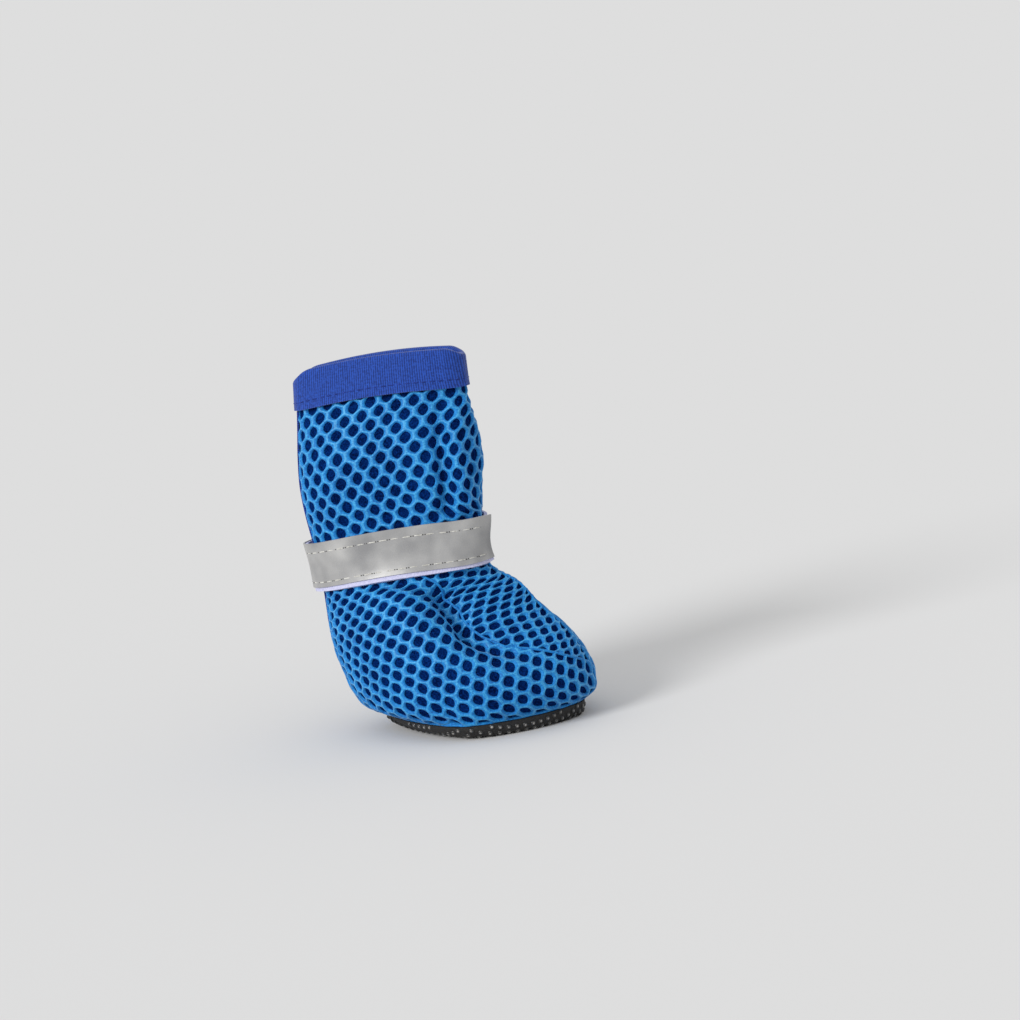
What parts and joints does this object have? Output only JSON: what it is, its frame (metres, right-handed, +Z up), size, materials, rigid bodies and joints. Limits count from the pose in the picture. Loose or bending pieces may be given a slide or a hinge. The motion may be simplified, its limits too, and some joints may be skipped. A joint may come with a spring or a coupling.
{
  "type": "dog boot",
  "caption": "Small dog boot: a hollow mesh sock with a bound collar, a wrap strap with reflective tape and a cupped grip sole.",
  "frame": {"origin": "middle of the sole, on its flat underside", "axes": "+X from heel to toe, +Z up along the shaft, +Y to the side away from the strap's free end"},
  "size_m": [0.0903, 0.0628, 0.1195],
  "materials": {
    "mesh_blue": "matt open mesh knit",
    "grip_black": "woven, with small rubbery dots",
    "webbing_royal": "matt ribbed webbing",
    "strap_lilac": "matt woven backing",
    "tape_grey": "satin reflective tape"
  },
  "bodies": {
    "root": {"sole": "grip_black", "upper": "mesh_blue", "collar_binding": "webbing_royal", "back_seam_tape": "webbing_royal", "strap": "strap_lilac", "reflective_tape": "tape_grey"}
  },
  "joints": []
}
